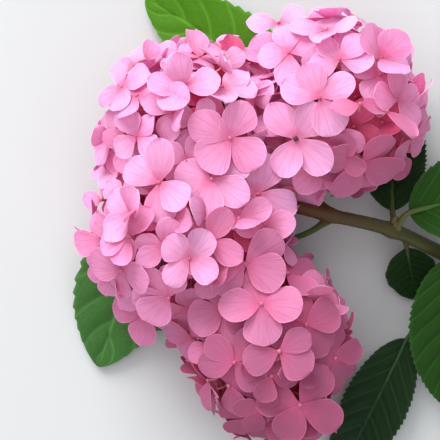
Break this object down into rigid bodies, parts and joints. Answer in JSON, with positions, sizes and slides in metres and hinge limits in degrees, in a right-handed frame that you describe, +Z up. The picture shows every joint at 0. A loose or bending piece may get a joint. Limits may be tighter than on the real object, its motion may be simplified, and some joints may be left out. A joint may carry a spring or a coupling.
{
  "type": "cut hydrangea branch in flower",
  "caption": "Cut leafy hydrangea stem with one large pink mophead bloom, lying on its side.",
  "frame": {"origin": "middle of the part's footprint, on the floor that the branch lies on", "axes": "+Z up from the floor; the bloom is at -X and the cut end of the stem at +X; the picture's upward direction is +Y and its view is down along -Z"},
  "size_m": [0.2416, 0.2401, 0.0945],
  "materials": {
    "petals": "matte, soft, finely veined",
    "leaves": "satin, veined",
    "stem": "smooth bark with small pores",
    "boughs": "smooth, green to reddish"
  },
  "bodies": {
    "root": {"bloom_upper_left": "petals", "bloom_middle": "petals", "bloom_upper_right": "petals", "bloom_lower": "petals", "bough_upper_left": "boughs", "bough_middle": "boughs", "bough_upper_right": "boughs", "bough_lower": "boughs", "main_stem": "stem", "leaf_lower_left": "leaves", "leaf_upper_left": "leaves", "leaf_right": "leaves", "leaf_under_bloom": "leaves", "leaf_hanging": "leaves", "leaf_large_right": "leaves", "leaf_bottom": "leaves"}
  },
  "joints": []
}
